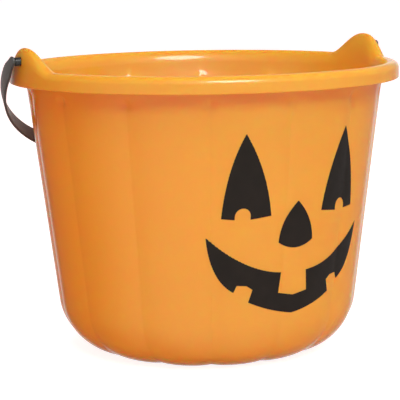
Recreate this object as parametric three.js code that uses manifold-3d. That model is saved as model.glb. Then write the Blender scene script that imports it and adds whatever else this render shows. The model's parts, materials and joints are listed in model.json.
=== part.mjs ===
// Halloween bucket: a moulded pail with fourteen pumpkin lobes, a rolled rim that rises into an
// ear on each side, a strap handle that swings on studs in the ears, and a printed face.
// Millimetres, +Z up. The origin is the centre of the base on the ground. The front faces -Y
// and the handle's pivot runs along X. An azimuth is measured from the front towards +X.
import * as THREE from 'three';
import { mergeVertices, toCreasedNormals } from 'three/addons/utils/BufferGeometryUtils.js';
import Module from 'manifold-3d';

// Shell
const WALL = 1.2;
const RIM_HEIGHT = 168.5;        // crest of the rim above the ground
const RIM_RADIUS = 114;          // outside of the rim's skirt
const CREST_INSET = 4.5;         // the rim's highest line lies this far in from its outside
const SKIRT_HEIGHT = 9.4;        // lower edge of the skirt, below the crest
const SHOULDER_DROP = 4;         // the rounded outer shoulder, below the crest
const FLARE_DROP = 9;            // the rounded inner flare, below the crest
const SKIRT_OVERHANG = 9.6;      // the skirt stands out this far over the lobes
const WALL_FOOT_RADIUS = 84.7;   // the same wall carried straight down to the ground
const FOOT_FILLET = 33.5;
const REST_RING_INNER = 34;      // flat ring that the bucket stands on
const REST_RING_OUTER = 44;
const BASE_RECESS = 1.2;         // the middle of the base stands clear of the ground
const RECESS_SLOPE = 4;

// Lobes: the creases between them are deeper at the foot than under the rim
const LOBES = 14;
const CREASE_AT_FOOT = 1.6;
const CREASE_AT_TOP = 1.1;
const CREASE_SHARPNESS = 2.5;    // how much of each lobe stays round between its creases
const CREASE_DROP = 5.1;         // the creases end in rounded dimples, this far below the skirt
const CREASE_FADE = 12;
const CREASE_RUN_IN = 12;        // the creases fade out over this width round the flat ring

// Ears
const EAR_RISE = 12.7;
const EAR_HALF_WIDTH = 30;
const EAR_BLUNTNESS = 2.4;
const EAR_SWELL = 2;             // the ears also stand out over the plain rim
const PIVOT_ABOVE_CREST = 5.2;

// Handle
const STRAP_THICKNESS = 1.4;
const STRAP_WIDTH = 10;
const STRAP_END_WIDTH = 6.2;     // round each stud
const STRAP_WIDENING = 12;       // length over which it gains its full width
const STRAP_REACH = 121.5;       // pivot to the middle of the bow, along the strap's plane
const STAND_OFF = 3.7;           // ear to strap
const STUD_RADIUS = 2.45;
const STUD_NECK_RADIUS = 1.9;
const STUD_NECK_LENGTH = 0.9;
const STUD_CLEARANCE = 0.35;     // round the stud in its hole
const HEAD_RADIUS = 3.2;
const HEAD_LENGTH = 2.4;
const HEAD_TIP_RADIUS = 1.9;
const HEAD_SET_BACK = 0.7;       // head to the back of the ear's wall
const REST_GAP = 0.35;           // the hanging strap's inner edge to the wall

// Printed face
const PRINT_FOOT = 34.2;         // lowest point of the print above the ground
const PRINT_BELOW_SKIRT = 22.4;  // highest point of the print, below the skirt
const INK_GAP = 0.3;
const INK_THICKNESS = 0.2;
const FACE_TURN = THREE.MathUtils.degToRad(4.3);   // the print sits a little off the mould's front

// Fineness
const STEPS_PER_LOBE = 8;
const SEGMENTS = LOBES * STEPS_PER_LOBE;
const FOOT_STEPS = 6;
const RIM_STEPS = 3;
const FADE_STEPS = 4;
const STRAP_STEPS = 44;
const STUD_SIDES = 20;
const OUTLINE_STEPS = 8;
const WRAP_STEPS = 10;
const CUT_PAST = 2;              // cutting shapes run this far past what they cut

// Values that follow from the sizes above
const CREST_RADIUS = RIM_RADIUS - CREST_INSET;
const SKIRT_BOTTOM = RIM_HEIGHT - SKIRT_HEIGHT;
const WALL_TOP_RADIUS = RIM_RADIUS - SKIRT_OVERHANG;
const CREASE_TOP = SKIRT_BOTTOM - CREASE_DROP;
const PRINT_HEIGHT = SKIRT_BOTTOM - PRINT_BELOW_SKIRT - PRINT_FOOT;
const TAPER = (WALL_TOP_RADIUS - WALL_FOOT_RADIUS) / SKIRT_BOTTOM;
const LEAN = Math.atan(TAPER);
const FILLET_CENTRE = WALL_FOOT_RADIUS + TAPER * FOOT_FILLET - FOOT_FILLET / Math.cos(LEAN);
const WALL_START = FOOT_FILLET * (1 - Math.sin(LEAN));
const PIVOT_HEIGHT = RIM_HEIGHT + PIVOT_ABOVE_CREST;
const EAR_TOP = RIM_HEIGHT + EAR_RISE;
const EAR_FACE = RIM_RADIUS + (EAR_SWELL * (PIVOT_HEIGHT - SKIRT_BOTTOM)) / (EAR_TOP - SKIRT_BOTTOM);
const STRAP_HALF_SPAN = EAR_FACE + STAND_OFF + STRAP_THICKNESS / 2;

const wallRadius = (z) => WALL_FOOT_RADIUS + TAPER * z;
const smooth = (x) => THREE.MathUtils.smoothstep(x, 0, 1);

// A crease is sharp at its bottom and dies away to nothing on the middle of each lobe
function creaseShape(azimuth) {
  const step = (2 * Math.PI) / LOBES;
  const fromCrease = Math.abs(azimuth / step - Math.round(azimuth / step)) * 2;
  return (1 - fromCrease) ** CREASE_SHARPNESS;
}

function creaseDepth(z) {
  return THREE.MathUtils.lerp(CREASE_AT_FOOT, CREASE_AT_TOP, THREE.MathUtils.clamp(
    (z - WALL_START) / (SKIRT_BOTTOM - WALL_START), 0, 1));
}

// How much of an ear there is at an azimuth: 1 on its middle and 0 on the plain rim
function earShape(azimuth) {
  const across = Math.asin(Math.abs(Math.cos(azimuth))) * RIM_RADIUS;
  const share = Math.min(across / EAR_HALF_WIDTH, 1);
  return (1 - share ** EAR_BLUNTNESS) ** EAR_BLUNTNESS;
}

// A point of the shell's section: crease says how much the creases push it along inward, and
// lift how much of the ear's rise and swell it takes
function point(r, z, crease = 0, inward = [-Math.cos(LEAN), Math.sin(LEAN)], lift = 0) {
  return { r, z, crease: crease * creaseDepth(z), inward, lift };
}

// The base and foot, from the axis out to the wall, moved in by the offset
function footSection(offset) {
  const up = [0, 1];
  const points = [
    point(0, BASE_RECESS + offset),
    point(REST_RING_INNER - RECESS_SLOPE, BASE_RECESS + offset),
    point(REST_RING_INNER, offset),
    point(REST_RING_OUTER, offset),
  ];
  const runIn = (r) => smooth((r - REST_RING_OUTER) / CREASE_RUN_IN);
  const halfWay = (REST_RING_OUTER + FILLET_CENTRE) / 2;
  points.push(point(halfWay, offset, runIn(halfWay), up));
  for (let i = 0; i <= FOOT_STEPS; i += 1) {
    const turn = ((Math.PI / 2 - LEAN) * i) / FOOT_STEPS;
    const away = [Math.sin(turn), -Math.cos(turn)];
    const r = FILLET_CENTRE + (FOOT_FILLET - offset) * away[0];
    const z = FOOT_FILLET + (FOOT_FILLET - offset) * away[1];
    const outerRadius = FILLET_CENTRE + FOOT_FILLET * away[0];
    points.push(point(r, z, runIn(outerRadius), [-away[0], -away[1]]));
  }
  return points;
}

// The straight wall, up to where the rim flares out
function wallSection(offset) {
  const heights = [];
  for (let i = 0; i <= FADE_STEPS; i += 1) heights.push(CREASE_TOP - CREASE_FADE * (1 - i / FADE_STEPS));
  return heights.map((z) => point(
    wallRadius(z) - offset / Math.cos(LEAN), z, smooth((CREASE_TOP - z) / CREASE_FADE)));
}

// The rim's section from the wall over the crest to the skirt; the offset moves it down and in
function rimSection(offset) {
  const flareBottom = RIM_HEIGHT - FLARE_DROP;
  const shoulderBottom = RIM_HEIGHT - SHOULDER_DROP;
  const flareWidth = CREST_RADIUS - wallRadius(flareBottom) + WALL;
  const shoulderWidth = RIM_RADIUS - CREST_RADIUS;
  const share = (z) => (z - SKIRT_BOTTOM) / (RIM_HEIGHT - SKIRT_BOTTOM);
  const points = [];
  for (let i = 0; i <= RIM_STEPS; i += 1) {
    const turn = (Math.PI / 2) * (i / RIM_STEPS);
    const r = CREST_RADIUS - (flareWidth - offset) * Math.cos(turn);
    const z = flareBottom + (FLARE_DROP - offset) * Math.sin(turn);
    points.push(point(r, z, 0, [0, 0], share(flareBottom + FLARE_DROP * Math.sin(turn))));
  }
  for (let i = 1; i <= RIM_STEPS; i += 1) {
    const turn = (Math.PI / 2) * (1 - i / RIM_STEPS);
    const r = CREST_RADIUS + (shoulderWidth - offset) * Math.cos(turn);
    const z = shoulderBottom + (SHOULDER_DROP - offset) * Math.sin(turn);
    points.push(point(r, z, 0, [0, 0], share(shoulderBottom + SHOULDER_DROP * Math.sin(turn))));
  }
  points.push(point(RIM_RADIUS - offset, SKIRT_BOTTOM));
  return points;
}

// A closed ring or disc turned from the section, with creases and ears pushed into it
function turned(section) {
  const profile = section.map((p) => new THREE.Vector2(p.r, p.z));
  const geometry = new THREE.LatheGeometry(profile, SEGMENTS).rotateX(Math.PI / 2);
  const position = geometry.attributes.position;
  for (let k = 0; k < position.count; k += 1) {
    const { r, z, crease, inward, lift } = section[k % section.length];
    const azimuth = (Math.floor(k / section.length) * 2 * Math.PI) / SEGMENTS;
    const push = crease * creaseShape(azimuth);
    const ear = lift * earShape(azimuth);
    const radius = r + inward[0] * push + ear * EAR_SWELL;
    position.setXYZ(k, radius * Math.sin(azimuth), -radius * Math.cos(azimuth),
      z + inward[1] * push + ear * EAR_RISE);
  }
  return geometry;
}

const wasm = await Module();
wasm.setup();

function toSolid(geometry) {
  const bare = new THREE.BufferGeometry();
  bare.setAttribute('position', geometry.attributes.position);
  bare.setIndex(geometry.index);
  const merged = mergeVertices(bare, 1e-4);
  const corners = merged.index.array;
  const triVerts = [];
  for (let i = 0; i < corners.length; i += 3) {
    const [a, b, c] = corners.slice(i, i + 3);
    if (a !== b && b !== c && c !== a) triVerts.push(a, b, c);
  }
  return new wasm.Manifold(new wasm.Mesh({
    numProp: 3,
    vertProperties: new Float32Array(merged.attributes.position.array),
    triVerts: new Uint32Array(triVerts),
  }));
}

function toGeometry(solid) {
  const mesh = solid.getMesh();
  const geometry = new THREE.BufferGeometry();
  geometry.setAttribute('position', new THREE.BufferAttribute(mesh.vertProperties, 3));
  geometry.setIndex(new THREE.BufferAttribute(mesh.triVerts, 1));
  return toCreasedNormals(geometry, Math.PI / 6);
}

// A rod along X, from x0 to x1
function rodAlongX(radius, x0, x1) {
  const rod = new THREE.CylinderGeometry(radius, radius, x1 - x0, STUD_SIDES).rotateZ(Math.PI / 2);
  return rod.translate((x0 + x1) / 2, 0, 0);
}

function bucketShell() {
  const outside = [...footSection(0), ...wallSection(0), ...rimSection(WALL)];
  const inside = [...footSection(WALL), ...wallSection(WALL), ...rimSection(0)];
  let shell = toSolid(turned([...outside, ...inside.reverse()]));
  const hole = STUD_RADIUS + STUD_CLEARANCE;
  for (const side of [-1, 1]) {
    const ends = [side * (EAR_FACE - WALL - CUT_PAST), side * (EAR_FACE + CUT_PAST)].sort((a, b) => a - b);
    const cutter = rodAlongX(hole, ...ends).translate(0, 0, PIVOT_HEIGHT);
    shell = shell.subtract(toSolid(cutter));
  }
  return toGeometry(shell);
}

// One stud, turned about X from the strap inwards through the ear, with a snap head behind it
function studSolid(side) {
  const strapFace = STRAP_HALF_SPAN - STRAP_THICKNESS / 2;
  const headFace = EAR_FACE - WALL - HEAD_SET_BACK;
  const sections = [
    [0, STRAP_HALF_SPAN],
    [STUD_NECK_RADIUS, STRAP_HALF_SPAN],
    [STUD_NECK_RADIUS, strapFace - STUD_NECK_LENGTH],
    [STUD_RADIUS, strapFace - STUD_NECK_LENGTH],
    [STUD_RADIUS, headFace],
    [HEAD_RADIUS, headFace],
    [HEAD_TIP_RADIUS, headFace - HEAD_LENGTH],
    [0, headFace - HEAD_LENGTH],
  ];
  const profile = sections.map(([r, x]) => new THREE.Vector2(r, -x));
  const stud = new THREE.LatheGeometry(profile, STUD_SIDES).rotateZ(Math.PI / 2);
  return toSolid(side > 0 ? stud : stud.rotateZ(Math.PI));
}

// The strap's bow: two half ellipses, carried straight on past the pivot to make the ends
function bowOutline() {
  const half = STRAP_THICKNESS / 2;
  const end = -STRAP_END_WIDTH / 2;
  const [outer, inner] = [STRAP_HALF_SPAN + half, STRAP_HALF_SPAN - half];
  const bow = new THREE.Shape();
  bow.moveTo(outer, end);
  bow.absellipse(0, 0, outer, STRAP_REACH + half, 0, Math.PI, false);
  bow.lineTo(-outer, end);
  bow.lineTo(-inner, end);
  bow.absellipse(0, 0, inner, STRAP_REACH - half, Math.PI, 0, true);
  bow.lineTo(inner, end);
  return bow;
}

// The strap from the side: round ends that widen to the full band
function bandOutline() {
  const end = STRAP_END_WIDTH / 2;
  const full = STRAP_WIDTH / 2;
  const far = STRAP_REACH + STRAP_WIDTH;
  const bend = STRAP_WIDENING / 2;
  const band = new THREE.Shape();
  band.moveTo(0, -end);
  band.bezierCurveTo(bend, -end, bend, -full, STRAP_WIDENING, -full);
  band.lineTo(far, -full);
  band.lineTo(far, full);
  band.lineTo(STRAP_WIDENING, full);
  band.bezierCurveTo(bend, full, bend, end, 0, end);
  band.absarc(0, 0, end, Math.PI / 2, -Math.PI / 2, false);
  return band;
}

// The handle lies in its own plane: X across the bucket, Y from the pivot to the bow, Z its width
function carryHandle() {
  const plane = new THREE.ExtrudeGeometry(bowOutline(), {
    depth: STRAP_WIDTH * 2, bevelEnabled: false, curveSegments: STRAP_STEPS,
  }).translate(0, 0, -STRAP_WIDTH);
  const across = STRAP_HALF_SPAN + CUT_PAST;
  const side = new THREE.ExtrudeGeometry(bandOutline(), {
    depth: across * 2, bevelEnabled: false, curveSegments: STUD_SIDES / 2,
  }).translate(0, 0, -across);
  const [x, y, z] = [[1, 0, 0], [0, 1, 0], [0, 0, 1]].map((v) => new THREE.Vector3(...v));
  side.applyMatrix4(new THREE.Matrix4().makeBasis(y, z, x));
  const strap = toSolid(plane).intersect(toSolid(side));
  return toGeometry(strap.add(studSolid(-1)).add(studSolid(1)));
}

// How far below level the free strap hangs before its inner lower edge meets the back wall
function hangAngle() {
  const reach = STRAP_REACH - STRAP_THICKNESS / 2;
  const half = STRAP_WIDTH / 2;
  const a = reach + TAPER * half;
  const b = TAPER * reach - half;
  const c = wallRadius(PIVOT_HEIGHT) + REST_GAP;
  return Math.atan2(b, a) + Math.acos(c / Math.hypot(a, b));
}

// Outlines of the print, flat and in hundredths of its height: x runs along the wall from the
// face's middle line, y up from the chin. The side is 1 for the viewer's right and -1 for the left.
function eyeOutline(side) {
  const eye = new THREE.Shape();
  const notch = { x: 32.2, y: 55.9, radius: 4.3 };
  eye.moveTo(side * 32.7, 100);
  eye.quadraticCurveTo(side * 42.1, 82.7, side * 43.7, 54.8);
  eye.lineTo(side * (notch.x + notch.radius), 54.1);
  const start = side > 0 ? 0 : Math.PI;
  eye.absarc(side * notch.x, notch.y, notch.radius, start, Math.PI - start, side < 0);
  eye.lineTo(side * (notch.x - notch.radius), 54);
  eye.lineTo(side * 16.2, 55.4);
  eye.quadraticCurveTo(side * 19.7, 79.8, side * 32.7, 100);
  return eye;
}

function noseOutline() {
  const nose = new THREE.Shape();
  nose.moveTo(0, 62.2);
  nose.quadraticCurveTo(10.2, 52, 10.7, 40.2);
  nose.quadraticCurveTo(0, 32.8, -10.7, 40.2);
  nose.quadraticCurveTo(-10.2, 52, 0, 62.2);
  return nose;
}

function mouthOutline() {
  const mouth = new THREE.Shape();
  mouth.moveTo(51.3, 44.5);
  mouth.quadraticCurveTo(29.5, 25.4, 7.9, 23.3);
  mouth.lineTo(9, 11.9);
  mouth.lineTo(0, 10.1);
  mouth.lineTo(-9, 11.9);
  mouth.lineTo(-7.9, 23.3);
  mouth.quadraticCurveTo(-29.5, 25.4, -51.3, 44.5);
  mouth.quadraticCurveTo(-47.8, 21.3, -34.8, 14.1);
  mouth.lineTo(-33.2, 17.9);
  mouth.lineTo(-27.9, 17.5);
  mouth.lineTo(-24.4, 15.2);
  mouth.lineTo(-26.4, 8.3);
  mouth.quadraticCurveTo(-13.2, 2, 0, 0);
  mouth.quadraticCurveTo(13.2, 2, 26.4, 8.3);
  mouth.lineTo(24.4, 15.2);
  mouth.lineTo(27.9, 17.5);
  mouth.lineTo(33.2, 17.9);
  mouth.lineTo(34.8, 14.1);
  mouth.quadraticCurveTo(47.8, 21.3, 51.3, 44.5);
  return mouth;
}

// The layer of ink all round the wall, which the outlines are cut from
function inkLayer() {
  const [bottom, top] = [WALL_START, CREASE_TOP - CREASE_FADE];
  const [inner, outer] = [INK_GAP, INK_GAP + INK_THICKNESS];
  const corner = (z, offset) => point(wallRadius(z) + offset, z, 1);
  const ring = [corner(bottom, inner), corner(bottom, outer), corner(top, outer), corner(top, inner)];
  return toSolid(turned([...ring, ring[0]]));
}

// A flat outline wrapped round the wall and made deep enough to cut through the ink layer
function wrapped(outline) {
  const unit = PRINT_HEIGHT / 100;
  const [near, far] = [wallRadius(0) - CUT_PAST, wallRadius(RIM_HEIGHT) + CUT_PAST];
  const prism = new THREE.ExtrudeGeometry(outline, {
    depth: far - near, steps: WRAP_STEPS, bevelEnabled: false, curveSegments: OUTLINE_STEPS,
  });
  const position = prism.attributes.position;
  for (let k = 0; k < position.count; k += 1) {
    const z = PRINT_FOOT + position.getY(k) * unit;
    const azimuth = FACE_TURN + (position.getX(k) * unit) / wallRadius(z);
    const radius = near + position.getZ(k);
    position.setXYZ(k, radius * Math.sin(azimuth), -radius * Math.cos(azimuth), z);
  }
  return toSolid(prism);
}

const ink = inkLayer();
const printed = (outline) => toGeometry(ink.intersect(wrapped(outline)));

const orangePlastic = () => new THREE.MeshStandardMaterial({ color: 0xee9a38, roughness: 0.3, metalness: 0 });
const blackPlastic = () => new THREE.MeshStandardMaterial({ color: 0x3a3634, roughness: 0.45, metalness: 0 });
const blackInk = () => new THREE.MeshStandardMaterial({ color: 0x2a2422, roughness: 0.4, metalness: 0 });

const bucket = new THREE.Group();

function addPiece(name, geometry, material) {
  const mesh = new THREE.Mesh(geometry, material);
  mesh.name = name;
  bucket.add(mesh);
  return mesh;
}

addPiece('bucket_shell', bucketShell(), orangePlastic());
const handle = addPiece('carry_handle', carryHandle(), blackPlastic());
handle.position.z = PIVOT_HEIGHT;
handle.rotation.x = -hangAngle();
addPiece('eye_left', printed(eyeOutline(-1)), blackInk());
addPiece('eye_right', printed(eyeOutline(1)), blackInk());
addPiece('nose', printed(noseOutline()), blackInk());
addPiece('mouth', printed(mouthOutline()), blackInk());

export default bucket;
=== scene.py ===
# %% [markdown]
# # A halloween pail, from surfaces to a render
# The pail is one thin plastic moulding with fourteen soft lobes, like a pumpkin. A black strap
# swings on two studs, and a cut-out face is printed on the front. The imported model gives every
# size and the joint, and this file adds the fine surfaces, the finishes, the light and the camera.

import json

import bmesh
import bpy
import numpy as np
from mathutils import Matrix, Vector


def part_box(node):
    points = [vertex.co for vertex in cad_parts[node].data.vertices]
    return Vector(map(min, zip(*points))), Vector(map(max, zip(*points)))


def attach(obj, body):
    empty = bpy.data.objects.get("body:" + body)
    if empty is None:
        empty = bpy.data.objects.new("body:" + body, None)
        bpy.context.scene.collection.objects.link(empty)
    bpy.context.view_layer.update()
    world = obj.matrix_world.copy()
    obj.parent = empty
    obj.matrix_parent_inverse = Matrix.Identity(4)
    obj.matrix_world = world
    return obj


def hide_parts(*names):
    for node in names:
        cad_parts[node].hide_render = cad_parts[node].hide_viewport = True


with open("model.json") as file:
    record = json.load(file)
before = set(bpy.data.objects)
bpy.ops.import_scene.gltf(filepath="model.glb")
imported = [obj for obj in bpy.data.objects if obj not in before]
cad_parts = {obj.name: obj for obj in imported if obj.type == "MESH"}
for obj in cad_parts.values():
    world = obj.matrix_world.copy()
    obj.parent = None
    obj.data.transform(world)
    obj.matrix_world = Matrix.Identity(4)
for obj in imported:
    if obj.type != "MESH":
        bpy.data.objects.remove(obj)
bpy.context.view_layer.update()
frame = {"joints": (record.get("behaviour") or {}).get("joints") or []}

# %% [markdown]
# ## Sizes
# Lengths here are in millimetres, because that is how a moulding is drawn. The frame gives the
# outer sizes and the pivot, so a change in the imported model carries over. The rest come from the
# photograph, by way of the fitted camera, or from what such pails measure. MM turns them into
# metres when a mesh is made.

# %% Sizes of the pail
MM = 0.001
shell_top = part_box("bucket_shell")[1] / MM
EAR_TOP = shell_top.z
RIM_RADIUS = shell_top.y
PIVOT = Vector(frame["joints"][0]["pos_m"]) / MM

WALL = 1.2
EAR_RISE = 12.7
CREST_INSET = 4.5
SKIRT_HEIGHT = 9.4
SKIRT_OVERHANG = 9.6
SHOULDER_DROP = 4.0
FLARE_DROP = 9.0
WALL_FOOT_RADIUS = 84.7
FOOT_FILLET = 33.5
REST_RING = (34.0, 44.0)
BASE_RECESS = 1.2
RECESS_SLOPE = 4.0
EAR_SWELL = 2.0
EAR_HALF_WIDTH = 30.0
EAR_BLUNTNESS = 2.4

RIM_HEIGHT = EAR_TOP - EAR_RISE
CREST_RADIUS = RIM_RADIUS - CREST_INSET
SKIRT_BOTTOM = RIM_HEIGHT - SKIRT_HEIGHT
WALL_TOP_RADIUS = RIM_RADIUS - SKIRT_OVERHANG
TAPER = (WALL_TOP_RADIUS - WALL_FOOT_RADIUS) / SKIRT_BOTTOM
LEAN = np.arctan(TAPER)
FILLET_CENTRE = WALL_FOOT_RADIUS + TAPER * FOOT_FILLET - FOOT_FILLET / np.cos(LEAN)
WALL_START = FOOT_FILLET * (1 - np.sin(LEAN))
EAR_FACE = RIM_RADIUS + EAR_SWELL * (PIVOT.z - SKIRT_BOTTOM) / (EAR_TOP - SKIRT_BOTTOM)
print("ear face %.1f mm from the middle, pivot %.1f mm up" % (EAR_FACE, PIVOT.z))

# %% [markdown]
# ## From numbers to a mesh
# Each surface below is a function of two parameters, worked out as whole numpy arrays on a grid.
# The alternative is to push vertices about by hand, but a formula keeps the lobes exactly alike.
# One helper turns a grid of points into faces and closes its seams.

# %% A mesh from a grid of points
SHARP_ANGLE = 35.0
MERGE_DISTANCE, SHORTEST_EDGE = 1e-6, 1e-7


def grid_faces(rows, columns, close_rows, close_columns):
    """Corner numbers of the quads between neighbouring points of a grid of rows x columns.
    A closed direction also joins its last points to its first."""
    row = np.arange(rows if close_rows else rows - 1)
    column = np.arange(columns if close_columns else columns - 1)
    i, j = np.meshgrid(row, column, indexing="ij")
    below, right = (i + 1) % rows, (j + 1) % columns
    corners = [i * columns + j, i * columns + right, below * columns + right, below * columns + j]
    return np.stack([c.ravel() for c in corners], axis=1)


def make_piece(name, points, faces, smooth_angle=SHARP_ANGLE):
    """An object from points in millimetres and lists of corner numbers. Doubled points merge,
    normals turn outwards, and edges sharper than the angle stay crisp."""
    mesh = bpy.data.meshes.new(name)
    mesh.from_pydata(np.asarray(points, float) * MM, [], faces)
    build = bmesh.new()
    build.from_mesh(mesh)
    bmesh.ops.remove_doubles(build, verts=build.verts, dist=MERGE_DISTANCE)
    bmesh.ops.dissolve_degenerate(build, edges=build.edges, dist=SHORTEST_EDGE)
    bmesh.ops.recalc_face_normals(build, faces=build.faces)
    build.to_mesh(mesh)
    build.free()
    mesh.shade_smooth()
    mesh.set_sharp_from_angle(angle=np.radians(smooth_angle))
    piece = bpy.data.objects.new(name, mesh)
    bpy.context.scene.collection.objects.link(piece)
    return piece


def make_rings(name, points, smooth_angle=SHARP_ANGLE):
    """An object from an array of points (rows, columns, 3) in millimetres, whose rows are closed
    rings."""
    faces = grid_faces(points.shape[0], points.shape[1], False, True)
    return make_piece(name, points.reshape(-1, 3), faces.tolist(), smooth_angle)


def apply_cut(piece, cutter, operation):
    """Cuts the piece with the cutter, keeps the result as its mesh and removes the cutter."""
    cut = piece.modifiers.new("cut", "BOOLEAN")
    cut.operation = operation
    cut.solver = "MANIFOLD"
    cut.object = cutter
    shape = piece.evaluated_get(bpy.context.evaluated_depsgraph_get())
    done = bpy.data.meshes.new_from_object(shape)
    piece.modifiers.remove(cut)
    piece.data = done
    bpy.data.objects.remove(cutter)
    done.shade_smooth()
    done.set_sharp_from_angle(angle=np.radians(SHARP_ANGLE))

# %% [markdown]
# ## The lobes and the ears
# On the real moulding the lobes are parted by shallow creases, each of which ends in a dimple
# under the rim, and each ear is the rim itself drawn up in a bump. Modelling lobes one by one
# would show joins. Here each is a number per direction, pushed into the turned section.

# %% How the shape changes round the pail
LOBES = 14
CREASE_AT_FOOT = 0.9
CREASE_AT_TOP = 1.1
CREASE_SHARPNESS = 2.5
CREASE_ROUNDING = 0.03
CREASE_TOP = 156.0
CREASE_FADE = 5.0
LOBE_ANGLE = 2 * np.pi / LOBES
DIMPLE_HEIGHT = 152.5
DIMPLE_DEPTH = 0.9
DIMPLE_SIZE = (3.4, 2.8)
CREASE_RUN_IN = 12.0


def smooth(x):
    """0 below 0 and 1 above 1, with an S curve between: 3 x squared less 2 x cubed."""
    x = np.clip(x, 0, 1)
    return x * x * (3 - 2 * x)


def wall_radius(z):
    """The outside of the lobes: a cone that widens by the taper."""
    return WALL_FOOT_RADIUS + TAPER * z


def crease_shape(azimuth):
    """1 on a crease and 0 mid-lobe: (1 - u) to a power, u being the share of half a lobe from
    the crease. A small rounding makes the crease's bottom soft, as a mould leaves it."""
    turns = azimuth / LOBE_ANGLE
    u = np.hypot(np.abs(turns - np.round(turns)) * 2, CREASE_ROUNDING)
    return np.clip(1 - u, 0, 1) ** CREASE_SHARPNESS


def crease_depth(z):
    """In a straight line from the depth at the foot to the depth under the skirt."""
    share = np.clip((z - WALL_START) / (SKIRT_BOTTOM - WALL_START), 0, 1)
    return CREASE_AT_FOOT + (CREASE_AT_TOP - CREASE_AT_FOOT) * share


def dimple(azimuth, r, z):
    """A dimple where each crease ends: exp(-d^2), d being the distance from its middle in
    dimple sizes, up and across."""
    from_crease = azimuth - np.round(azimuth / LOBE_ANGLE) * LOBE_ANGLE
    d = np.hypot(from_crease * r / DIMPLE_SIZE[1], (z - DIMPLE_HEIGHT) / DIMPLE_SIZE[0])
    return DIMPLE_DEPTH * np.exp(-d ** 2)


def ear_shape(azimuth):
    """1 on an ear's middle and 0 on the plain rim: (1 - s^b)^b, s the share of its width."""
    across = np.arcsin(np.abs(np.cos(azimuth))) * RIM_RADIUS
    share = np.minimum(across / EAR_HALF_WIDTH, 1)
    return (1 - share ** EAR_BLUNTNESS) ** EAR_BLUNTNESS


print("creases every %.1f degrees" % (360 / LOBES))

# %% [markdown]
# ## The section of the wall
# A pail like this is one even wall, folded over at the top into a hollow rim. Its section is a
# closed line: up the outside, over under the rim, round the skirt's edge, over the crest and
# down the inside. Each point carries how much the creases and the ears may move it.

# %% The section, as rows of radius, height, crease, inward direction and lift
def section_row(r, z, crease=0.0, inward=None, lift=0.0):
    """Rows of (radius, height, crease push, inward r, inward z, lift), one for each r and z."""
    r, z, crease, lift = np.broadcast_arrays(*[np.asarray(v, float) for v in (r, z, crease, lift)])
    inward_r, inward_z = inward if inward is not None else (-np.cos(LEAN), np.sin(LEAN))
    push = crease * crease_depth(z)
    return np.stack([r, z, push, inward_r + 0 * r, inward_z + 0 * r, lift], axis=-1)


FOOT_STEPS, WALL_STEPS, END_STEPS, RIM_STEPS = 22, 22, 16, 12
RECESS_RADII = (0, 4, 10, 20)
CREASE_END = 14.0


def foot_rows(offset):
    """The base from the axis out: recess, flat ring, then the fillet, an arc about its centre
    whose radius is the fillet's less the offset. The creases run in with an S curve."""
    recess = np.array([*RECESS_RADII, REST_RING[0] - RECESS_SLOPE])
    slope = np.linspace(0, 1, 7)[1:]
    flat = np.linspace(*REST_RING, 4)[1:]
    rest = np.linspace(REST_RING[1], FILLET_CENTRE, 6)[1:-1]
    rows = [
        section_row(recess, BASE_RECESS + offset),
        section_row(recess[-1] + RECESS_SLOPE * slope, BASE_RECESS * (1 - smooth(slope)) + offset),
        section_row(flat, offset),
        section_row(rest, offset, smooth((rest - REST_RING[1]) / CREASE_RUN_IN), (0.0, 1.0)),
    ]
    turn = np.linspace(0, np.pi / 2 - LEAN, FOOT_STEPS + 1)
    away_r, away_z = np.sin(turn), -np.cos(turn)
    run_in = smooth((FILLET_CENTRE + FOOT_FILLET * away_r - REST_RING[1]) / CREASE_RUN_IN)
    rows.append(section_row(FILLET_CENTRE + (FOOT_FILLET - offset) * away_r,
                            FOOT_FILLET + (FOOT_FILLET - offset) * away_z,
                            run_in, (-away_r, -away_z)))
    return np.concatenate(rows)


def wall_rows(offset):
    """The straight wall, then the stretch below the skirt where each crease ends in a dimple."""
    straight = np.linspace(WALL_START, CREASE_TOP - CREASE_END, WALL_STEPS + 1)[1:]
    end = np.linspace(CREASE_TOP - CREASE_END, CREASE_TOP, END_STEPS + 1)[1:]
    z = np.concatenate([straight, end])
    fade = smooth((CREASE_TOP - z) / CREASE_FADE)
    return section_row(wall_radius(z) - offset / np.cos(LEAN), z, fade)


def lift_share(z):
    """How far up the rim a height is: 0 at the skirt's lower edge and 1 at the crest."""
    return np.clip((z - SKIRT_BOTTOM) / (RIM_HEIGHT - SKIRT_BOTTOM), 0, 1)


def rim_rows(offset):
    """The rim over its crest: a quarter ellipse for the inner flare and one for the shoulder,
    then the skirt. The ears lift and push out each point by its share of the rim's height."""
    flare_bottom, shoulder_bottom = RIM_HEIGHT - FLARE_DROP, RIM_HEIGHT - SHOULDER_DROP
    flare_width = CREST_RADIUS - wall_radius(flare_bottom) + WALL
    shoulder_width = RIM_RADIUS - CREST_RADIUS
    turn = np.linspace(0, np.pi / 2, RIM_STEPS + 1)
    back = turn[::-1][1:]
    skirt = np.linspace(shoulder_bottom, SKIRT_BOTTOM, 5)[1:]
    return np.concatenate([
        section_row(CREST_RADIUS - (flare_width - offset) * np.cos(turn),
                    flare_bottom + (FLARE_DROP - offset) * np.sin(turn),
                    lift=lift_share(flare_bottom + FLARE_DROP * np.sin(turn))),
        section_row(CREST_RADIUS + (shoulder_width - offset) * np.cos(back),
                    shoulder_bottom + (SHOULDER_DROP - offset) * np.sin(back),
                    lift=lift_share(shoulder_bottom + SHOULDER_DROP * np.sin(back))),
        section_row(RIM_RADIUS - offset + 0 * skirt, skirt, lift=lift_share(skirt)),
    ])


def skirt_edge_rows():
    """The skirt's rounded lower edge: a half circle of half the wall between its two faces."""
    turn = np.linspace(0, np.pi, 7)
    z = SKIRT_BOTTOM + WALL / 2 * (1 - np.sin(turn))
    return section_row(RIM_RADIUS - WALL / 2 - WALL / 2 * np.cos(turn), z, lift=lift_share(z))


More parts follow.
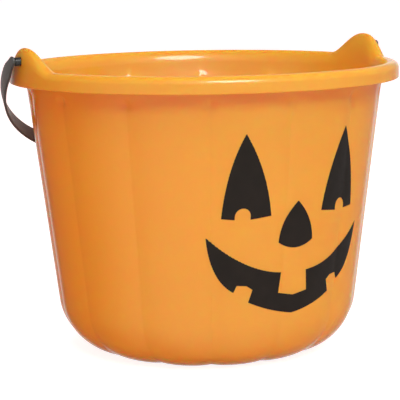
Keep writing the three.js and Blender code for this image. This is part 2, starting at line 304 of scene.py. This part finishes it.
print("wall start %.1f mm up, fillet centre %.1f mm out" % (WALL_START, FILLET_CENTRE))

# %% [markdown]
# ## The shell
# The section is turned round the pail's axis, then every point is moved by its crease and lift.
# A Screw modifier could turn the section, but it can't know about lobes. The columns crowd
# towards the creases, where the wall bends most. The two stud holes are drilled afterwards.

# %% Turn the section into the shell
STEPS_PER_LOBE = 26
CROWDING = 1.5
HOLE_RADIUS = 2.8


def turned(section, azimuth):
    """Points of the section turned to each azimuth: radius plus push, out along (sin, -cos)."""
    r, z, crease, inward_r, inward_z, lift = [column[:, None] for column in section.T]
    push = crease * crease_shape(azimuth) + dimple(azimuth, r, z)
    ear = lift * ear_shape(azimuth)
    radius = r + inward_r * push + ear * EAR_SWELL
    height = z + inward_z * push + ear * EAR_RISE
    return np.stack([radius * np.sin(azimuth), -radius * np.cos(azimuth), height], axis=-1)


def rod_along_x(name, radius, x0, x1, z, sides=48):
    """A plain cylinder between two places on X, for cutting: circles about (z) at both ends."""
    turn = np.linspace(0, 2 * np.pi, sides, endpoint=False)
    ring = [np.stack([np.full(sides, x), k * np.cos(turn), z + k * np.sin(turn)], axis=-1)
            for x, k in ((x0, 0.0), (x0, radius), (x1, radius), (x1, 0.0))]
    return make_rings(name, np.stack(ring))


def column_azimuths():
    """Directions round the pail. An even step u from -1 to 1 across a lobe becomes a share
    sign(u) |u|^CROWDING / 2 of the lobe's angle, counted from its crease."""
    even = np.linspace(-1, 1, STEPS_PER_LOBE, endpoint=False)
    share = np.sign(even) * np.abs(even) ** CROWDING / 2
    return (np.arange(LOBES)[:, None] + share).ravel() * 2 * np.pi / LOBES


outer_line = np.concatenate([foot_rows(0), wall_rows(0), rim_rows(WALL)[:-1]])
inner_line = np.concatenate([foot_rows(WALL), wall_rows(WALL), rim_rows(0)[:-1]])
section = np.concatenate([outer_line, skirt_edge_rows(), inner_line[::-1]])
pail = make_rings("pail", turned(section, column_azimuths()))

for side in (-1, 1):
    ends = sorted((side * (EAR_FACE - 3 * WALL), side * (EAR_FACE + WALL)))
    apply_cut(pail, rod_along_x("drill", HOLE_RADIUS, *ends, PIVOT.z), "DIFFERENCE")
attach(pail, "bucket")
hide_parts("bucket_shell")
print("pail:", len(pail.data.polygons), "faces")

# %% [markdown]
# ## The strap
# The handle is a thin moulded band bent into a bow, with softened edges. A curve with a bevel
# could make it, but the band narrows round each stud. So a rounded section is carried along half
# an ellipse, and its width is a function of the distance from the pivot.

# %% Sizes of the strap and the way it hangs
STRAP_THICKNESS = 1.4
STRAP_WIDTH = 10.0
STRAP_END_WIDTH = 6.2
STRAP_WIDENING = 12.0
STRAP_REACH = 121.5
STAND_OFF = 3.7
REST_GAP = 0.35
STRAP_HALF_SPAN = EAR_FACE + STAND_OFF + STRAP_THICKNESS / 2


def hang_angle():
    """How far below level the strap hangs before its inner edge meets the back wall. The edge's
    place, a cos(turn) + b sin(turn), equals the wall's radius at the pivot plus the gap."""
    reach, half = STRAP_REACH - STRAP_THICKNESS / 2, STRAP_WIDTH / 2
    a, b = reach + TAPER * half, TAPER * reach - half
    return np.arctan2(b, a) + np.arccos((wall_radius(PIVOT.z) + REST_GAP) / np.hypot(a, b))


HANG = hang_angle()
ALONG = np.array([0, np.cos(HANG), -np.sin(HANG)])
ACROSS = np.array([0, np.sin(HANG), np.cos(HANG)])
print("the strap hangs %.1f degrees below level" % np.degrees(HANG))

# %% The strap as a section carried along a bow
BOW_STEPS, TAB_STEPS, CORNER_STEPS = 120, 12, 5
EDGE_ROUNDING = 0.45
STRAP_SHARP_ANGLE = 40.0


def half_width(y):
    """Half the band's width at a distance y past the pivot: a half circle behind the pivot, and
    an S curve from the end's width to the full width in front of it."""
    end, full = STRAP_END_WIDTH / 2, STRAP_WIDTH / 2
    behind = np.sqrt(np.clip(end ** 2 - np.minimum(y, 0) ** 2, 0, None))
    return np.where(y < 0, behind, end + (full - end) * smooth(y / STRAP_WIDENING))


def rounded_section(half_thickness, half_wide, rounding):
    """Offsets (through, wide) round a rectangle whose corners are quarter circles."""
    corner = np.linspace(0, np.pi / 2, CORNER_STEPS)
    flat_through = (half_thickness - rounding)[:, None]
    flat_wide = (half_wide - rounding)[:, None]
    rounding = rounding[:, None]
    parts = []
    for quarter, (sx, sy) in enumerate(((1, 1), (-1, 1), (-1, -1), (1, -1))):
        turn = corner + quarter * np.pi / 2
        parts.append(np.stack([sx * flat_through + rounding * np.cos(turn),
                               sy * flat_wide + rounding * np.sin(turn)], -1))
    return np.concatenate(parts, axis=1)


def bow_path():
    """Points and outward directions along the bow: straight behind the pivot, then half an
    ellipse (a cos t, b sin t), whose outward direction is (b cos t, a sin t)."""
    back = -STRAP_END_WIDTH / 2 * np.cos(np.linspace(0, np.pi / 2, TAB_STEPS, endpoint=False))
    t = np.linspace(0, np.pi, BOW_STEPS + 1)
    x = np.concatenate([np.full(TAB_STEPS, STRAP_HALF_SPAN), STRAP_HALF_SPAN * np.cos(t),
                        np.full(TAB_STEPS, -STRAP_HALF_SPAN)])
    y = np.concatenate([back, STRAP_REACH * np.sin(t), back[::-1]])
    out = np.stack([STRAP_REACH * np.cos(t), STRAP_HALF_SPAN * np.sin(t)], axis=-1)
    out = np.concatenate([[[1, 0]] * TAB_STEPS, out, [[-1, 0]] * TAB_STEPS])
    return x, y, out / np.linalg.norm(out, axis=1, keepdims=True)


def strap_points():
    """The section at each place of the bow: path + through x outward + wide x across."""
    x, y, out = bow_path()
    half = half_width(y)
    rounding = np.minimum(EDGE_ROUNDING, 0.95 * half)
    section = rounded_section(np.full_like(y, STRAP_THICKNESS / 2), half, rounding)
    through, wide = section[..., 0], section[..., 1]
    flat_x = x[:, None] + through * out[:, None, 0]
    flat_y = y[:, None] + through * out[:, None, 1]
    points = flat_y[..., None] * ALONG + wide[..., None] * ACROSS + np.array(PIVOT)
    points[..., 0] += flat_x
    return points


strap = make_rings("strap", strap_points(), smooth_angle=STRAP_SHARP_ANGLE)
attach(strap, "handle")
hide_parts("carry_handle")
print("strap:", len(strap.data.polygons), "faces")

# %% [markdown]
# ## The studs
# Each end of the strap has a stud that snaps through its ear: a slim neck, the pin that turns in
# the hole, and a barbed head behind the wall. All of it is one turned profile, so a lathe is the
# plain way to make it, with small roundings where the moulding has them.

# %% Turn the studs
STUD_RADIUS, NECK_RADIUS, HEAD_RADIUS, HEAD_TIP_RADIUS = 2.45, 1.9, 3.2, 1.9
NECK_LENGTH, HEAD_SET_BACK, HEAD_LENGTH, SOFT_EDGE = 0.9, 0.7, 2.4, 0.3
STUD_SIDES = 40


def soft_corner(before, corner, after, radius):
    """Four points that round a profile's corner: a quadratic curve from radius before it to
    radius after it."""
    before, corner, after = [np.array(p, float) for p in (before, corner, after)]
    start = corner + (before - corner) * radius / np.linalg.norm(before - corner)
    stop = corner + (after - corner) * radius / np.linalg.norm(after - corner)
    t = np.linspace(0, 1, 4)[:, None]
    return (1 - t) ** 2 * start + 2 * t * (1 - t) * corner + t ** 2 * stop


def stud_profile():
    """(radius, distance from the strap's middle towards the pail), with rounded edges."""
    face = STRAP_THICKNESS / 2
    head = STAND_OFF + face + WALL + HEAD_SET_BACK
    corners = [(0, 0), (NECK_RADIUS, 0), (NECK_RADIUS, face + NECK_LENGTH),
               (STUD_RADIUS, face + NECK_LENGTH), (STUD_RADIUS, head), (HEAD_RADIUS, head),
               (HEAD_TIP_RADIUS, head + HEAD_LENGTH), (0, head + HEAD_LENGTH)]
    rows = [np.array([corners[0]], float)]
    for before, corner, after in zip(corners, corners[1:], corners[2:]):
        rows.append(soft_corner(before, corner, after, SOFT_EDGE))
    rows.append(np.array([corners[-1]], float))
    return np.concatenate(rows)


def make_stud(name, side):
    """The profile turned about the pivot: circles round X, from the strap towards the pail."""
    profile = stud_profile()
    turn = np.linspace(0, 2 * np.pi, STUD_SIDES, endpoint=False)
    r, depth = profile[:, :1], profile[:, 1:]
    x = side * (STRAP_HALF_SPAN - depth) + 0 * turn
    points = np.stack([x, PIVOT.y + r * np.cos(turn), PIVOT.z + r * np.sin(turn)], -1)
    return make_rings(name, points)


studs = [make_stud("stud_left", -1), make_stud("stud_right", 1)]
for stud in studs:
    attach(stud, "handle")
print("studs:", [stud.name for stud in studs])

# %% [markdown]
# ## The printed face
# The face is one pass of black ink on the curved wall, thinner than a hair. A painted mask would
# need a fine picture to keep its edge sharp. Instead a thin skin follows the lobes, and each
# flat outline, wrapped round the wall, cuts its own shape out of the skin.

# %% Outlines of the print, flat and in hundredths of its height
FACE_TURN = np.radians(4.3)
PRINT_FOOT = 34.2
PRINT_BELOW_SKIRT = 22.4
PRINT_UNIT = (SKIRT_BOTTOM - PRINT_BELOW_SKIRT - PRINT_FOOT) / 100
CURVE_STEPS = 24


def curve(start, control, stop, steps=CURVE_STEPS):
    """A quadratic curve: (1-t)^2 start + 2t(1-t) control + t^2 stop, without its last point."""
    t = np.linspace(0, 1, steps, endpoint=False)[:, None]
    start, control, stop = [np.array(p, float) for p in (start, control, stop)]
    return (1 - t) ** 2 * start + 2 * t * (1 - t) * control + t ** 2 * stop


def lines(*corners):
    """Straight lines through the corners, six points to a line, without the last corner."""
    middles = [(np.array(a, float) + np.array(b, float)) / 2 for a, b in zip(corners, corners[1:])]
    return np.concatenate([curve(a, m, b, 6) for a, m, b in zip(corners, middles, corners[1:])])


def on_wall(outline):
    """Hundredths of the print's height to millimetres: along the wall, and up from the ground."""
    return outline * PRINT_UNIT + (0, PRINT_FOOT)


def eye_outline(side):
    """Two curved sides that meet in a tip, and a flat foot with a round notch cut into it."""
    notch, radius = np.array((32.2, 55.9)), 4.3
    turn = np.linspace(0, np.pi, CURVE_STEPS)[:, None]
    bite = notch + radius * np.concatenate([np.cos(turn), np.sin(turn)], axis=1)
    outline = np.concatenate([
        curve((32.7, 100), (42.1, 82.7), (43.7, 54.8)),
        lines((43.7, 54.8), (notch[0] + radius, 54.1)),
        lines((notch[0] + radius, 54.1), bite[0]),
        bite,
        lines((notch[0] - radius, 54), (16.2, 55.4)),
        curve((16.2, 55.4), (19.7, 79.8), (32.7, 100)),
    ])
    return on_wall(outline * (side, 1))


def nose_outline():
    """A rounded triangle: two swelling sides and a foot that rises to its middle."""
    return on_wall(np.concatenate([
        curve((0, 62.2), (10.2, 52), (10.7, 40.2)),
        curve((10.7, 40.2), (0, 32.8), (-10.7, 40.2)),
        curve((-10.7, 40.2), (-10.2, 52), (0, 62.2)),
    ]))


def mouth_outline():
    """The right half of the grin, from the middle tooth out to a corner and back along the lower
    lip past its side tooth, and then the left half, which mirrors it."""
    right = np.concatenate([
        lines((0, 10.1), (9, 11.9), (7.9, 23.3)),
        curve((7.9, 23.3), (29.5, 25.4), (51.3, 44.5)),
        curve((51.3, 44.5), (47.8, 21.3), (34.8, 14.1)),
        lines((34.8, 14.1), (33.2, 17.9), (27.9, 17.5), (24.4, 15.2), (26.4, 8.3)),
        curve((26.4, 8.3), (13.2, 2), (0, 0)),
        [(0, 0)],
    ])
    return on_wall(np.concatenate([right, right[-2:0:-1] * (-1, 1)]))


# %% Cut the ink out of a skin on the wall
INK_OUT, INK_IN = 0.1, -0.15
SKIN_STEP = np.radians(0.6)
SKIN_ROW = 2.0
PRISM_RADII = (0.6 * WALL_FOOT_RADIUS, 1.6 * WALL_FOOT_RADIUS)


def skin_patch(outline):
    """A thin solid patch of the wall behind an outline: the wall's surface moved out by
    INK_OUT, and the same moved in by INK_IN, joined round the patch's border."""
    reach = np.abs(outline[:, 0]).max() / WALL_FOOT_RADIUS + SKIN_STEP * 3
    low, high = outline[:, 1].min() - SKIN_ROW, outline[:, 1].max() + SKIN_ROW
    azimuth = np.arange(FACE_TURN - reach, FACE_TURN + reach, SKIN_STEP)
    heights = np.linspace(low, high, int((high - low) / SKIN_ROW))
    layers = []
    for offset in (INK_OUT, INK_IN):
        rows = section_row(wall_radius(heights) + offset, heights, 1.0)
        layers.append(turned(rows, azimuth))
    outer, inner = layers
    count, wide = len(heights), len(azimuth)
    faces = grid_faces(count * 2, wide, True, False)
    points = np.concatenate([outer, inner[::-1]]).reshape(-1, 3)
    row = np.arange(count - 1)
    sides = []
    for column in (0, wide - 1):
        front, behind = row * wide + column, (2 * count - 1 - row) * wide + column
        sides.append(np.stack([front, front + wide, behind - wide, behind], axis=1))
    return points, np.concatenate([faces, *sides]).tolist()


def wrapped_prism(outline):
    """The outline as a solid that crosses the wall: each point goes to the azimuth of its
    distance along the wall, and out from the axis between two radii."""
    along, height = outline.T
    azimuth = FACE_TURN + along / wall_radius(height)
    return [np.stack([radius * np.sin(azimuth), -radius * np.cos(azimuth), height], -1)
            for radius in PRISM_RADII]


def make_ink(node, outline):
    """The ink that stands for one printed node."""
    skin = make_piece(node + "_ink", *skin_patch(outline))
    near, far = wrapped_prism(outline)
    count = len(outline)
    k = np.arange(count)
    sides = np.stack([k, (k + 1) % count, (k + 1) % count + count, k + count], axis=1)
    caps = [list(range(count)), list(range(count, 2 * count))]
    prism = make_piece("outline", np.concatenate([near, far]), sides.tolist() + caps)
    apply_cut(skin, prism, "INTERSECT")
    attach(skin, "bucket")
    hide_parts(node)
    return skin


inks = [make_ink("eye_left", eye_outline(-1)), make_ink("eye_right", eye_outline(1)),
        make_ink("nose", nose_outline()), make_ink("mouth", mouth_outline())]
print("ink:", [(ink.name, len(ink.data.polygons)) for ink in inks])

# %% [markdown]
# ## Orange plastic
# The pail is glossy polypropylene with pigment in it, thin enough that light strays through the
# wall. Plain paint would look dead. Here light scatters a little below the surface, red further
# than blue, and a fine ripple and faint flow marks break up the gloss as a mould does.

# %% Helpers for materials
def linear(red, green, blue):
    """A colour given as 0 to 255 in sRGB, as the linear numbers that a shader takes."""
    value = np.array([red, green, blue]) / 255
    low, high = value / 12.92, ((value + 0.055) / 1.055) ** 2.4
    return (*np.where(value <= 0.04045, low, high), 1.0)


NOISE_RANGE = (0.3, 0.7)


class Finish:
    """A node material in the making: add() makes a node, and join() links two sockets."""

    def __init__(self, name):
        self.material = bpy.data.materials.new(name)
        self.material.use_nodes = True
        self.tree = self.material.node_tree
        self.shader = self.tree.nodes["Principled BSDF"]
        self.place = self.add("ShaderNodeTexCoord").outputs["Object"]

    def add(self, kind, **settings):
        """A node of that kind with its settings."""
        node = self.tree.nodes.new(kind)
        for key, value in settings.items():
            setattr(node, key, value)
        return node

    def join(self, source, target):
        """A link from an output to an input."""
        self.tree.links.new(source, target)

    def noise(self, scale, detail=2.0, stretch=(1, 1, 1)):
        """Noise on object coordinates in metres; a larger stretch makes it finer that way."""
        mapping = self.add("ShaderNodeMapping")
        mapping.inputs["Scale"].default_value = stretch
        self.join(self.place, mapping.inputs["Vector"])
        noise = self.add("ShaderNodeTexNoise")
        noise.inputs["Scale"].default_value = scale
        noise.inputs["Detail"].default_value = detail
        self.join(mapping.outputs["Vector"], noise.inputs["Vector"])
        return noise.outputs["Fac"]

    def spread(self, factor, low, high):
        """The factor's middle range carried to low..high, in a straight line."""
        ramp = self.add("ShaderNodeMapRange")
        ramp.inputs["From Min"].default_value = NOISE_RANGE[0]
        ramp.inputs["From Max"].default_value = NOISE_RANGE[1]
        ramp.inputs["To Min"].default_value = low
        ramp.inputs["To Max"].default_value = high
        self.join(factor, ramp.inputs["Value"])
        return ramp.outputs["Result"]

    def mix(self, factor, first, second):
        """A blend of two colours by the factor. Each is a colour or a socket."""
        mix = self.add("ShaderNodeMix", data_type="RGBA")
        self.join(factor, mix.inputs["Factor"])
        for socket, colour in ((mix.inputs[6], first), (mix.inputs[7], second)):
            if isinstance(colour, tuple):
                socket.default_value = colour
            else:
                self.join(colour, socket)
        return mix.outputs[2]

    def bump(self, height, strength, distance):
        """A bump of that height in metres, chained onto any bump made before."""
        bump = self.add("ShaderNodeBump")
        bump.inputs["Strength"].default_value = strength
        bump.inputs["Distance"].default_value = distance
        self.join(height, bump.inputs["Height"])
        if self.shader.inputs["Normal"].is_linked:
            self.join(self.shader.inputs["Normal"].links[0].from_socket, bump.inputs["Normal"])
        self.join(bump.outputs["Normal"], self.shader.inputs["Normal"])


def put_on(piece, finish):
    """Makes the finish the piece's only material."""
    piece.data.materials.clear()
    piece.data.materials.append(finish.material)


# %% Orange plastic
BRIGHT_ORANGE = linear(236, 170, 54)
DEEP_ORANGE = linear(233, 163, 49)
FLOW_SCALE, FLOW_STRETCH, FLOW_SHARE = 14, (1, 1, 0.35), 0.35
ORANGE_GLOSS_SCALE = 60
SCATTER_REACH = 2.5 * MM
SCATTER_BY_COLOUR = (1.0, 0.3, 0.12)
PLASTIC_IOR = 1.49
ORANGE_ROUGHNESS = (0.09, 0.15)
# Each ripple: noise scale, strength, height in metres.
ORANGE_RIPPLES = ((160, 0.12, 0.2 * MM), (1400, 0.05, 0.05 * MM))


def orange_plastic():
    """Orange with faint flow marks drawn out upwards, scattering below the surface, and a gloss
    broken up by two ripples."""
    finish = Finish("orange_plastic")
    shader = finish.shader
    flow = finish.spread(finish.noise(FLOW_SCALE, 3.0, FLOW_STRETCH), 0.0, FLOW_SHARE)
    finish.join(finish.mix(flow, BRIGHT_ORANGE, DEEP_ORANGE), shader.inputs["Base Color"])
    shader.inputs["Subsurface Weight"].default_value = 1.0
    shader.inputs["Subsurface Radius"].default_value = SCATTER_BY_COLOUR
    shader.inputs["Subsurface Scale"].default_value = SCATTER_REACH
    shader.inputs["IOR"].default_value = PLASTIC_IOR
    gloss = finish.spread(finish.noise(ORANGE_GLOSS_SCALE), *ORANGE_ROUGHNESS)
    finish.join(gloss, shader.inputs["Roughness"])
    for scale, strength, height in ORANGE_RIPPLES:
        finish.bump(finish.noise(scale, 1.0), strength, height)
    return finish


put_on(pail, orange_plastic())
print("orange plastic on", pail.name)

# %% [markdown]
# ## Black plastic and black ink
# The strap is satin black with a fine grain from its mould, and its studs are polished by their
# turning. The ink is a dry, slightly brown black with a faint mottle. Both stay clear of pure
# black, so that light still shapes them.

# %% Black plastic, polished studs and ink
MOTTLE_SCALE, GLOSS_SCALE, GRAIN_SCALE = 90, 300, 2500
INK_MOTTLE_SCALE, INK_GLOSS_SCALE, INK_GRAIN_SCALE = 120, 200, 900
GRAIN_HEIGHT = 0.05 * MM
ROUGHNESS_SPREAD = 0.05
INK_ROUGHNESS = (0.36, 0.48)
INK_GLOSS = 0.15
INK_GRAIN = 0.06


def black_plastic(name, roughness, grain, dark, light, sheen):
    """Satin black, between two near-blacks with faint mottle, with a grain of the given bump
    strength and a sheen at glancing angles."""
    finish = Finish(name)
    mottle = finish.spread(finish.noise(MOTTLE_SCALE, 3.0), 0.0, 1.0)
    finish.join(finish.mix(mottle, dark, light), finish.shader.inputs["Base Color"])
    finish.shader.inputs["Sheen Weight"].default_value = sheen
    rough = finish.spread(finish.noise(GLOSS_SCALE), roughness - ROUGHNESS_SPREAD,
                          roughness + ROUGHNESS_SPREAD)
    finish.join(rough, finish.shader.inputs["Roughness"])
    finish.bump(finish.noise(GRAIN_SCALE, 2.0), grain, GRAIN_HEIGHT)
    return finish


def black_ink():
    """A dry brownish black that reflects little."""
    finish = Finish("black_ink")
    shader = finish.shader
    shader.inputs["Specular IOR Level"].default_value = INK_GLOSS
    mottle = finish.spread(finish.noise(INK_MOTTLE_SCALE, 4.0), 0.0, 1.0)
    finish.join(finish.mix(mottle, linear(30, 24, 21), linear(35, 28, 25)),
                shader.inputs["Base Color"])
    rough = finish.spread(finish.noise(INK_GLOSS_SCALE), *INK_ROUGHNESS)
    finish.join(rough, shader.inputs["Roughness"])
    finish.bump(finish.noise(INK_GRAIN_SCALE, 2.0), INK_GRAIN, GRAIN_HEIGHT)
    return finish


strap_finish = black_plastic("strap_plastic", roughness=0.46, grain=0.25,
                             dark=linear(50, 51, 53), light=linear(62, 62, 63), sheen=0.22)
stud_finish = black_plastic("stud_plastic", roughness=0.16, grain=0.05,
                            dark=linear(30, 29, 28), light=linear(38, 36, 35), sheen=0.0)
put_on(strap, strap_finish)
for stud in studs:
    put_on(stud, stud_finish)
ink_finish = black_ink()
for ink in inks:
    put_on(ink, ink_finish)
print("black plastic and ink are on")

# %% [markdown]
# ## Floor
# A pale floor carries a soft shadow and sends a little light up under the pail. Adding lamps to
# whiten the view would bleach the pail, so the floor glows a little for the camera alone. It
# lies a hair below the pail, so that their faces never coincide.

# %% Floor: size in metres, drop in millimetres
FLOOR_SIZE = 40.0
FLOOR_DROP = 0.05
FLOOR_GLOW = 0.88
FLOOR_PAINT = (0.86, 0.64, 0.6, 1)


def floor_material():
    """Warm matt paint for light, and for the camera the same plus a glow that whitens it."""
    material = bpy.data.materials.new("pale_floor")
    material.use_nodes = True
    tree = material.node_tree
    nodes, links = tree.nodes, tree.links
    nodes.clear()
    path = nodes.new("ShaderNodeLightPath")
    paint = nodes.new("ShaderNodeBsdfDiffuse")
    glow = nodes.new("ShaderNodeEmission")
    paint.inputs["Color"].default_value = FLOOR_PAINT
    glow.inputs["Color"].default_value = (1, 1, 1, 1)
    bright = nodes.new("ShaderNodeMath")
    bright.operation = "MULTIPLY"
    bright.inputs[1].default_value = FLOOR_GLOW
    links.new(path.outputs["Is Camera Ray"], bright.inputs[0])
    links.new(bright.outputs["Value"], glow.inputs["Strength"])
    add, out = nodes.new("ShaderNodeAddShader"), nodes.new("ShaderNodeOutputMaterial")
    links.new(paint.outputs["BSDF"], add.inputs[0])
    links.new(glow.outputs["Emission"], add.inputs[1])
    links.new(add.outputs["Shader"], out.inputs["Surface"])
    return material


floor_faces = grid_faces(2, 2, False, False)
ends = (-FLOOR_SIZE / 2 / MM, FLOOR_SIZE / 2 / MM)
corners = [(x, y, -FLOOR_DROP) for y in ends for x in ends]
floor = make_piece("floor", corners, floor_faces.tolist())
floor.data.materials.append(floor_material())
floor.visible_glossy = False
print("floor is set")

# %% [markdown]
# ## The room
# Three kinds of ray see three different rooms. The camera sees plain white. A reflection sees a
# dim room with soft bright patches, which make the highlights. All other light is a faint warm
# glow, as between orange and pale things. A photographed room would do it too, but it would need
# a picture file.

# %% The room round the table, angles in degrees
CAMERA_SIDE = 27.3
ROOM_LIGHT = 0.465
WARM_ROOM = (1.0, 0.41, 0.43)
DIM_WALLS = 0.1
# Each patch: degrees aside, degrees up, cosine at its edge, cosine where it is full, strength.
PATCHES = (
    (15, 0, -0.55, 0.85, 0.87),  # the whole front of the room
    (15, 35, 0.75, 1.0, 1.2),  # the bright part above it
    (150, 0, 0.3, 0.95, 0.25),  # behind to the right
    (180, -9, 0.85, 0.97, 0.4),  # low behind, the pale line down both edges of the wall
    (19, 42, 0.955, 0.985, 11.0),  # the small strong one, which the rim shows as a streak
)

world = bpy.data.worlds.new("studio")
bpy.context.scene.world = world
world.use_nodes = True
air = world.node_tree
background = air.nodes["Background"]
direction = air.nodes.new("ShaderNodeTexCoord").outputs["Generated"]
ray = air.nodes.new("ShaderNodeLightPath")


def towards(aside, height):
    """The direction that lies so many degrees to the right of the camera, as seen from the
    pail, and so many degrees above the horizon."""
    azimuth, elevation = np.radians(CAMERA_SIDE - aside), np.radians(height)
    level = np.cos(elevation)
    return Vector((-level * np.sin(azimuth), -level * np.cos(azimuth), np.sin(elevation)))


def switch(factor, low, high, start=0.0, end=1.0, shape="LINEAR"):
    """A number that goes from low to high as the factor goes from start to end."""
    node = air.nodes.new("ShaderNodeMapRange")
    node.interpolation_type = shape
    node.inputs["From Min"].default_value, node.inputs["From Max"].default_value = start, end
    air.links.new(factor, node.inputs["Value"])
    for value, socket in ((low, node.inputs["To Min"]), (high, node.inputs["To Max"])):
        if isinstance(value, float):
            socket.default_value = value
        else:
            air.links.new(value, socket)
    return node.outputs["Result"]


def add_glow(room, aside, height, start, end, strength):
    """The room with a soft bright patch, or the dim walls with the first one: nothing where the
    cosine of the angle to the patch is below start, and all its strength where it is above end."""
    facing = air.nodes.new("ShaderNodeVectorMath")
    facing.operation = "DOT_PRODUCT"
    facing.inputs[1].default_value = towards(aside, height)
    air.links.new(direction, facing.inputs[0])
    patch = switch(facing.outputs["Value"], 0.0, strength, start, end, "SMOOTHSTEP")
    total = air.nodes.new("ShaderNodeMath")
    total.inputs[0].default_value = DIM_WALLS
    if room is not None:
        air.links.new(room, total.inputs[0])
    air.links.new(patch, total.inputs[1])
    return total.outputs["Value"]


room = None
for patch in PATCHES:
    room = add_glow(room, *patch)
lit = switch(ray.outputs["Is Glossy Ray"], ROOM_LIGHT, room)
air.links.new(switch(ray.outputs["Is Camera Ray"], lit, 1.0), background.inputs["Strength"])
seen = air.nodes.new("ShaderNodeMath")
seen.operation = "MAXIMUM"
air.links.new(ray.outputs["Is Camera Ray"], seen.inputs[0])
air.links.new(ray.outputs["Is Glossy Ray"], seen.inputs[1])
tint = air.nodes.new("ShaderNodeMix")
tint.data_type = "RGBA"
air.links.new(seen.outputs["Value"], tint.inputs["Factor"])
tint.inputs[6].default_value = (*WARM_ROOM, 1)
tint.inputs[7].default_value = (1, 1, 1, 1)
air.links.new(tint.outputs[2], background.inputs["Color"])
print("room light", ROOM_LIGHT)

# %% [markdown]
# ## Light
# The pail is lit by four large soft lamps: the main one in front, a little to the right of the
# camera, one high above, one from the right, and one behind, so that the back isn't left dark.
# Their size sets how soft the rim's shadow is. Reflections don't see them, because the room's
# patches make the highlights.

# %% Lamps
AIM = Vector((0, 0, 0.09))
LAMP_DISTANCE = 1.4
# Each lamp: degrees aside, degrees up, size in metres, power in watts, colour.
LAMPS = {
    "main_lamp": (15, 37, (0.8, 0.45), 11.6, (0.5, 1.0, 0.83)),
    "top_lamp": (-10, 66, (0.6, 0.6), 7.8, (0.86, 0.93, 0.92)),
    "side_lamp": (100, 45, (0.6, 0.6), 4.4, (0.95, 0.95, 0.85)),
    "back_lamp": (165, 35, (0.8, 0.5), 5.0, (0.7, 1.0, 0.86)),
}


def soft_lamp(name, aside, height, size, power, colour):
    """A rectangular area lamp that faces the pail. Its place is given as a photographer would:
    degrees aside to the right of the camera, and degrees above the horizon."""
    place = AIM + LAMP_DISTANCE * towards(aside, height)
    lamp = bpy.data.lights.new(name, "AREA")
    lamp.shape = "RECTANGLE"
    lamp.size, lamp.size_y = size
    lamp.energy = power
    lamp.color = colour
    holder = bpy.data.objects.new(name, lamp)
    holder.location = place
    holder.rotation_euler = (AIM - place).to_track_quat("-Z", "Y").to_euler()
    holder.visible_glossy = False
    bpy.context.scene.collection.objects.link(holder)


for name, settings in LAMPS.items():
    soft_lamp(name, *settings)

# %% [markdown]
# ## Camera
# The place and the lens were worked out by fitting a camera to the rim, the wall and the print
# in the photograph. It stands nearly a metre off, a little above the rim, to the left of the
# face, and looks slightly down through a long lens.

# %% Camera: metres, radians and pixels
CAMERA_DISTANCE = 0.95464
CAMERA_HEIGHT = 0.23535
LOOK_DOWN, LOOK_ASIDE, ROLL = 0.155, -0.0036, -0.0148
FOCAL_PIXELS, PICTURE_PIXELS, SENSOR = 1621.08, 400, 36.0


def camera_turn():
    """The camera's right, up and back directions: look down and aside from straight ahead, roll
    about the line of sight, then turn the whole round the pail to the camera's side."""
    ahead = Vector((np.sin(LOOK_ASIDE) * np.cos(LOOK_DOWN),
                    np.cos(LOOK_ASIDE) * np.cos(LOOK_DOWN), -np.sin(LOOK_DOWN)))
    level = Vector((np.cos(LOOK_ASIDE), -np.sin(LOOK_ASIDE), 0))
    upright = level.cross(ahead)
    right = np.cos(ROLL) * level + np.sin(ROLL) * upright
    up = -np.sin(ROLL) * level + np.cos(ROLL) * upright
    return Matrix((right, up, -ahead)).transposed().to_4x4()


round_pail = Matrix.Rotation(-np.radians(CAMERA_SIDE), 4, "Z")
stand = Matrix.Translation((0, -CAMERA_DISTANCE, CAMERA_HEIGHT))
lens = bpy.data.cameras.new("camera")
lens.sensor_width = SENSOR
lens.lens = FOCAL_PIXELS * SENSOR / PICTURE_PIXELS
camera = bpy.data.objects.new("camera", lens)
camera.matrix_world = round_pail @ stand @ camera_turn()
bpy.context.scene.collection.objects.link(camera)
bpy.context.scene.camera = camera
bpy.context.scene.view_settings.view_transform = "Standard"
print("camera at", [round(v, 4) for v in camera.location])
